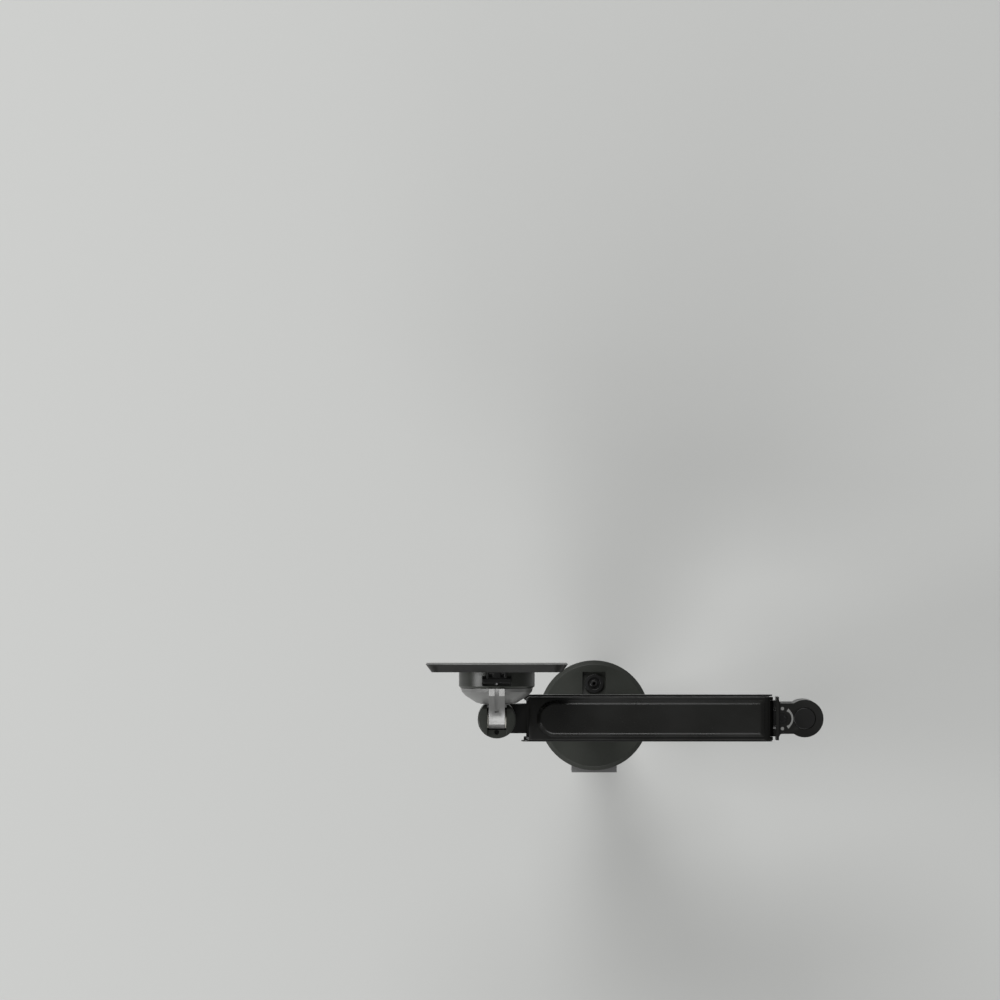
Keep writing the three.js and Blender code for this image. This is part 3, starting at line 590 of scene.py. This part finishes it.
def stacked(rings: Sequence[Sequence[Vector]]) -> bmesh.types.BMesh:
    """Closes a stack of outlines that all have the same number of points.

    Args:
        rings: The outlines, from the lowest to the highest.

    Returns:
        A closed mesh with its faces pointing out.
    """
    shape = bmesh.new()
    levels = [[shape.verts.new(point) for point in ring] for ring in rings]
    count = len(levels[0])
    for lower, upper in zip(levels, levels[1:]):
        for step in range(count):
            after = (step + 1) % count
            shape.faces.new((lower[step], lower[after], upper[after], upper[step]))
    shape.faces.new(list(reversed(levels[0])))
    shape.faces.new(levels[-1])
    bmesh.ops.recalc_face_normals(shape, faces=shape.faces)
    return shape


# ---- Geometry Nodes ----


def new_geometry_tree(name: str, inputs: Mapping[str, tuple[str, float]]) -> bpy.types.NodeTree:
    """Starts a Geometry Nodes tree.

    Args:
        name: The tree's name.
        inputs: Type and default value of each input, by name.

    Returns:
        The tree, with its input and output nodes in place.
    """
    tree = bpy.data.node_groups.new(name, "GeometryNodeTree")
    tree.interface.new_socket(name="Geometry", in_out="INPUT", socket_type="NodeSocketGeometry")
    for label, (kind, default) in inputs.items():
        group_socket(tree, label, kind, default)
    tree.interface.new_socket(name="Finish", in_out="INPUT", socket_type="NodeSocketMaterial")
    tree.interface.new_socket(name="Geometry", in_out="OUTPUT", socket_type="NodeSocketGeometry")
    tree.nodes.new("NodeGroupInput")
    tree.nodes.new("NodeGroupOutput")
    return tree


def close_tree(tree: bpy.types.NodeTree, geometry: bpy.types.NodeSocket) -> None:
    """Ends a tree with real geometry that carries the finish.

    Args:
        tree: The tree.
        geometry: What it has made.
    """
    source, sink = tree.nodes["Group Input"], tree.nodes["Group Output"]
    real = tree.nodes.new("GeometryNodeRealizeInstances")
    paint = tree.nodes.new("GeometryNodeSetMaterial")
    tree.links.new(geometry, real.inputs["Geometry"])
    tree.links.new(real.outputs["Geometry"], paint.inputs["Geometry"])
    tree.links.new(source.outputs["Finish"], paint.inputs["Material"])
    tree.links.new(paint.outputs["Geometry"], sink.inputs["Geometry"])


def helix_tree() -> bpy.types.NodeTree:
    """Builds the tree for a round wire or thread crest wound about the Z axis."""
    tree = new_geometry_tree("helix", {
        "Radius": ("Float", 5 * MM), "Height": ("Float", 20 * MM), "Turns": ("Float", 10.0),
        "Wire Radius": ("Float", 0.4 * MM), "Steps Per Turn": ("Int", 32), "Wire Sides": ("Int", 8),
    })
    source = tree.nodes["Group Input"]
    spiral = tree.nodes.new("GeometryNodeCurveSpiral")
    circle = tree.nodes.new("GeometryNodeCurvePrimitiveCircle")
    upright = tree.nodes.new("GeometryNodeSetCurveNormal")
    upright.mode = "Z_UP"
    sweep = tree.nodes.new("GeometryNodeCurveToMesh")
    sweep.inputs["Fill Caps"].default_value = True
    shade = tree.nodes.new("GeometryNodeSetShadeSmooth")
    for output, target in (("Steps Per Turn", "Resolution"), ("Turns", "Rotations"),
                           ("Radius", "Start Radius"), ("Radius", "End Radius"), ("Height", "Height")):
        tree.links.new(source.outputs[output], spiral.inputs[target])
    tree.links.new(source.outputs["Wire Radius"], circle.inputs["Radius"])
    tree.links.new(source.outputs["Wire Sides"], circle.inputs["Resolution"])
    tree.links.new(spiral.outputs["Curve"], upright.inputs["Curve"])
    tree.links.new(upright.outputs["Curve"], sweep.inputs["Curve"])
    tree.links.new(circle.outputs["Curve"], sweep.inputs["Profile Curve"])
    tree.links.new(sweep.outputs["Mesh"], shade.inputs["Geometry"])
    close_tree(tree, shade.outputs["Geometry"])
    return tree


def grown(name: str, tree: bpy.types.NodeTree, values: Mapping[str, float], finish: Finish,
          place: Matrix) -> bmesh.types.BMesh:
    """Runs a tree and puts what it makes in place.

    Args:
        name: A name for the short-lived object.
        tree: The tree.
        values: The tree's input values, by name.
        finish: The finish that it carries.
        place: Where the result goes.

    Returns:
        The plain mesh that the tree made.
    """
    holder = new_piece(name, bmesh.new())
    modifier = holder.modifiers.new(name, "NODES")
    modifier.node_group = tree
    for item in tree.interface.items_tree:
        if item.in_out == "INPUT" and item.name in values:
            modifier[item.identifier] = values[item.name]
        if item.in_out == "INPUT" and item.name == "Finish":
            modifier[item.identifier] = finish.material()
    set_in_mesh(holder)
    shape = bmesh.new()
    shape.from_mesh(holder.data)
    shape.transform(place)
    mesh = holder.data
    bpy.data.objects.remove(holder)
    bpy.data.meshes.remove(mesh)
    return shape


def together(name: str, shapes: Iterable[bmesh.types.BMesh]) -> bpy.types.Object:
    """Joins several meshes in one piece.

    Args:
        name: The piece's name.
        shapes: The meshes, which are used up.

    Returns:
        The piece.
    """
    whole = bmesh.new()
    for shape in shapes:
        part = bpy.data.meshes.new(name)
        shape.to_mesh(part)
        shape.free()
        whole.from_mesh(part)
        bpy.data.meshes.remove(part)
    return new_piece(name, whole)


# ---- Sub-assemblies ----


@dataclass
class SubAssembly:
    """A group of nodes that are finished alike, each with its own edge rounding in millimetres."""

    model: Model
    edges: dict[str, float] = field(default_factory=dict)

    def build(self) -> None:
        """Finishes every node, then makes the pieces that need more."""
        for node, width in self.edges.items():
            refined(self.model, node, width * MM)
        self.build_details()

    def build_details(self) -> None:
        """Makes the pieces that the sub-assembly shapes itself."""


@dataclass
class Clamp(SubAssembly):
    """The desk clamp: bracket, jaw, screw, shoe and hand wheel."""

    edges: dict[str, float] = field(default_factory=lambda: {
        "clamp_bracket": 0.6, "lower_jaw": 0.6, "jaw_screw_left": 0.3, "jaw_screw_right": 0.3,
        "clamp_shoe": 0.4, "clamp_pad": 0.4, "clamp_wheel": 0.7,
    })
    thread_pitch: float = 1.5 * MM
    thread_depth: float = 0.55 * MM
    end_chamfer: float = 0.6 * MM

    def build_details(self) -> None:
        """Makes the clamp screw with its thread."""
        low, high = (Vector(corner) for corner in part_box("clamp_spindle"))
        radius = (high.x - low.x) / 2
        centre = self.model.centre("clamp_spindle")
        core = radius - self.thread_depth
        length = high.z - low.z
        profile = [(0, 0), (core - self.end_chamfer, 0), (core, self.end_chamfer),
                   (core, length - self.end_chamfer), (core - self.end_chamfer, length), (0, length)]
        foot = Matrix.Translation((centre.x, centre.y, low.z))
        shaft = lathe(profile)
        shaft.transform(foot)
        wire = self.thread_depth / 1.9
        margin = 2 * self.thread_pitch
        thread = grown("clamp_thread", HELIX, {
            "Radius": radius - wire, "Height": length - 2 * margin,
            "Turns": (length - 2 * margin) / self.thread_pitch, "Wire Radius": wire,
            "Steps Per Turn": 32, "Wire Sides": 6,
        }, FINISHES["steel"], foot @ Matrix.Translation((0, 0, margin)))
        piece = together("clamp_spindle_threaded", [shaft, thread])
        smooth(piece)
        self.model.fit(piece, "clamp_spindle")


@dataclass
class Base(SubAssembly):
    """The round base with its pad, fixing screw and post."""

    edges: dict[str, float] = field(default_factory=lambda: {
        "base_pad": 0.4, "base_disc": 0.5, "base_screw_washer": 0.25, "base_screw": 0.35, "post": 0.4,
        "post_bolt": 0.3, "post_retaining_washer": 0.2, "post_top_screw": 0.25, "base_thrust_washer": 0.2,
        "base_bush_lower": 0.15, "base_bush_upper": 0.15,
    })


@dataclass
class LowerArm(SubAssembly):
    """The lower link of the arm with its bushes, caps and cable cover."""

    edges: dict[str, float] = field(default_factory=lambda: {
        "lower_arm": 0.9, "lower_cable_cover": 0.5, "base_barrel_cap": 0.5, "elbow_bush_lower": 0.15,
        "elbow_bush_upper": 0.15, "elbow_bottom_cap": 0.5, "elbow_thrust_washer": 0.15,
    })


@dataclass
class Elbow(SubAssembly):
    """The elbow knuckle with its adjuster and the marks printed round it."""

    edges: dict[str, float] = field(default_factory=lambda: {
        "elbow_knuckle": 0.6, "elbow_spindle": 0.3, "elbow_bolt": 0.3, "elbow_top_cap": 0.25,
        "tension_screw": 0.25, "tension_nut": 0.4, "rear_pin_upper": 0.3, "rear_pin_lower": 0.3,
    })
    neck_top: float = 171 * MM
    ink: float = 0.08 * MM
    arc_radius: float = 8.5 * MM
    arc_width: float = 1.6 * MM
    arc_half_angle: float = math.radians(60)
    arc_end_swell: float = 0.6 * MM
    dot_radius: float = 1.45 * MM
    dot_reach: float = 8.5 * MM

    def build_details(self) -> None:
        """Prints the adjuster's direction arc and its two dots on the neck."""
        centre = self.model.centre("tension_screw")
        shapes = [self.arc(centre)]
        for side in (-1, 1):
            shapes.append(self.dot(centre + Vector((0, side * self.dot_reach, 0))))
        marks = together("adjuster_marks", shapes)
        smooth(marks)
        self.model.add(marks, "elbow_body", "mark_ink", "nylon")

    def arc(self, centre: Vector) -> bmesh.types.BMesh:
        """Draws the arc that bows towards the elbow's axis.

        Args:
            centre: The adjuster's axis.

        Returns:
            A thin closed mesh.
        """
        outer, inner = [], []
        for step in range(MARK_STEPS + 1):
            share = 2 * step / MARK_STEPS - 1
            angle = math.pi + share * self.arc_half_angle
            half = self.arc_width / 2 + self.arc_end_swell * max(0.0, abs(share) - 0.7) / 0.3
            ray = Vector((math.cos(angle), math.sin(angle), 0))
            outer.append(centre + ray * (self.arc_radius + half))
            inner.append(centre + ray * (self.arc_radius - half))
        return self.printed(outer + list(reversed(inner)))

    def dot(self, centre: Vector) -> bmesh.types.BMesh:
        """Draws a round dot.

        Args:
            centre: The dot's centre.

        Returns:
            A thin closed mesh.
        """
        rim = []
        for step in range(MARK_STEPS):
            angle = 2 * math.pi * step / MARK_STEPS
            rim.append(centre + self.dot_radius * Vector((math.cos(angle), math.sin(angle), 0)))
        return self.printed(rim)

    def printed(self, outline: Sequence[Vector]) -> bmesh.types.BMesh:
        """Raises an outline by the thickness of the ink."""
        levels = (self.neck_top, self.neck_top + self.ink)
        return stacked([[Vector((point.x, point.y, level)) for point in outline] for level in levels])


@dataclass
class UpperArm(SubAssembly):
    """The parallelogram: beam, lower link, gas spring and the long top cover."""

    edges: dict[str, float] = field(default_factory=lambda: {
        "upper_beam": 0.5, "lower_link": 0.35, "spring_front_pin": 0.3, "gas_spring_cylinder": 0.5,
        "gas_spring_rod": 0.3, "spring_cross_pin": 0.3,
    })
    bevel: float = 3.2 * MM
    nose_steps: int = 48
    corner: float = 1.5 * MM
    levels: tuple[tuple[float, float], ...] = (
        (0.0, 0.0), (0.0, 0.16), (0.10, 0.32), (0.78, 0.86), (0.90, 0.94), (1.0, 0.98), (1.35, 1.0),
    )

    def build_details(self) -> None:
        """Makes the long cover with its rounded front end."""
        low, high = (Vector(corner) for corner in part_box("top_cover"))
        height = high.z - low.z
        half = (high.y - low.y) / 2
        rings = []
        for inset, rise in self.levels:
            rings.append(self.outline(low.x, high.x, half, inset * self.bevel, low.z + rise * height))
        piece = new_piece("top_cover_finished", stacked(rings))
        smooth(piece, COVER_SMOOTH_ANGLE)
        self.model.fit(piece, "top_cover")

    def outline(self, rear: float, front: float, half: float, inset: float, level: float) -> list[Vector]:
        """Draws the cover's outline at one level.

        Args:
            rear: X of the cover's square end.
            front: X of its round end.
            half: Half of its width.
            inset: How far this level lies inside the foot of the cover.
            level: The level's height.

        Returns:
            The outline, anticlockwise from above.
        """
        radius = half - inset
        middle = front - half
        corner = self.corner
        points = []
        for step in range(self.nose_steps + 1):
            angle = math.pi * (step / self.nose_steps - 0.5)
            points.append(Vector((middle + radius * math.cos(angle), radius * math.sin(angle), level)))
        for side, start in ((1, 0.5), (-1, 1.0)):
            for step in range(7):
                angle = math.pi * (start + step / 12)
                x = rear + inset + corner + corner * math.cos(angle)
                points.append(Vector((x, side * (radius - corner) + corner * math.sin(angle), level)))
        return points


@dataclass
class Head(SubAssembly):
    """The head: front knuckle, pan and tilt joints, turning hub, latch and screen plate."""

    edges: dict[str, float] = field(default_factory=lambda: {
        "front_knuckle": 0.6, "front_pin_upper": 0.3, "front_pin_lower": 0.3, "pan_bush": 0.15,
        "pan_washer": 0.2, "pan_nut": 0.3, "pan_spindle": 0.3, "pan_head": 0.6, "tilt_bolt": 0.3,
        "tilt_nut": 0.3, "tilt_washer_left": 0.15, "tilt_washer_right": 0.15, "tilt_bracket": 0.5,
        "rotation_washer": 0.2, "hub_housing": 0.6, "rotation_bolt": 0.3, "vesa_plate": 0.4,
        "vesa_latch": 0.35,
    })
    spring_wire: float = 0.28 * MM
    spring_turns: float = 5.0

    def build_details(self) -> None:
        """Makes the latch's coil spring, which lies along the screen's axis."""
        low, high = (Vector(corner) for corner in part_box("latch_spring"))
        centre = self.model.centre("latch_spring")
        radius = (high.x - low.x) / 2 - self.spring_wire
        length = high.y - low.y - 2 * self.spring_wire
        turned = Matrix.Rotation(-math.pi / 2, 4, "X")
        place = Matrix.Translation((centre.x, low.y + self.spring_wire, centre.z)) @ turned
        coil = grown("latch_coil", HELIX, {
            "Radius": radius, "Height": length, "Turns": self.spring_turns, "Wire Radius": self.spring_wire,
            "Steps Per Turn": 24, "Wire Sides": 8,
        }, FINISHES["steel"], place)
        piece = together("latch_spring_coil", [coil])
        smooth(piece)
        self.model.fit(piece, "latch_spring")


HELIX = helix_tree()


# ---- Studio ----


@dataclass
class Studio:
    """The floor, the lights and the camera."""

    floor_level: float = -0.149
    floor_half: float = 4.0
    camera_place: tuple[float, float, float] = (0.0813, -0.186, 10.9)
    camera_lens: float = 454.0
    sky: float = 0.15

    def build(self) -> None:
        """Sets up everything round the arm."""
        self.floor()
        self.light("key", (0.6, 3.0, 2.9), 2.4, 80.0)
        self.light("fill", (0.9, -3.0, 2.9), 2.4, 110.0)
        self.light("side", (3.4, 0.4, 2.2), 1.8, 80.0)
        bpy.context.scene.view_settings.view_transform = "Standard"
        self.world()
        self.camera()

    def floor(self) -> None:
        """Lays the plain pale floor."""
        shape = bmesh.new()
        bmesh.ops.create_grid(shape, x_segments=1, y_segments=1, size=self.floor_half)
        floor = new_piece("floor", shape)
        floor.data.transform(Matrix.Translation((0, 0, self.floor_level)))
        material = bpy.data.materials.new("floor")
        material.use_nodes = True
        shader = material.node_tree.nodes["Principled BSDF"]
        shader.inputs["Base Color"].default_value = FLOOR_COLOUR
        shader.inputs["Roughness"].default_value = 0.8
        floor.data.materials.append(material)
        floor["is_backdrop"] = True

    def light(self, name: str, place: tuple[float, float, float], size: float, power: float) -> None:
        """Hangs a soft square light that faces the arm.

        Args:
            name: The light's name.
            place: Where it hangs.
            size: Its side.
            power: Its power in watts.
        """
        lamp = bpy.data.lights.new(name, "AREA")
        lamp.size = size
        lamp.energy = power
        holder = bpy.data.objects.new(name, lamp)
        holder.location = place
        holder.rotation_euler = (Vector((0, 0, 0.1)) - Vector(place)).to_track_quat("-Z", "Y").to_euler()
        bpy.context.scene.collection.objects.link(holder)

    def world(self) -> None:
        """Sets the even light of the room."""
        world = bpy.data.worlds.new("room")
        world.use_nodes = True
        background = world.node_tree.nodes["Background"]
        background.inputs["Color"].default_value = ROOM_COLOUR
        background.inputs["Strength"].default_value = self.sky
        bpy.context.scene.world = world

    def camera(self) -> None:
        """Hangs the camera high above the desk, looking straight down."""
        lens = bpy.data.cameras.new("camera")
        lens.lens = self.camera_lens
        lens.sensor_width = 36.0
        lens.clip_end = 50.0
        camera = bpy.data.objects.new("camera", lens)
        camera.location = self.camera_place
        camera.rotation_euler = (0, 0, math.pi)
        bpy.context.scene.collection.objects.link(camera)
        bpy.context.scene.camera = camera


def main() -> None:
    """Builds the arm's looks sub-assembly by sub-assembly."""
    logging.basicConfig(level=logging.INFO, format="%(name)s: %(message)s")
    model = Model()
    Studio().build()
    parts: tuple[Callable[[Model], SubAssembly], ...] = (Clamp, Base, LowerArm, Elbow, UpperArm, Head)
    for part in parts:
        part(model).build()


if __name__ == "__main__":
    main()
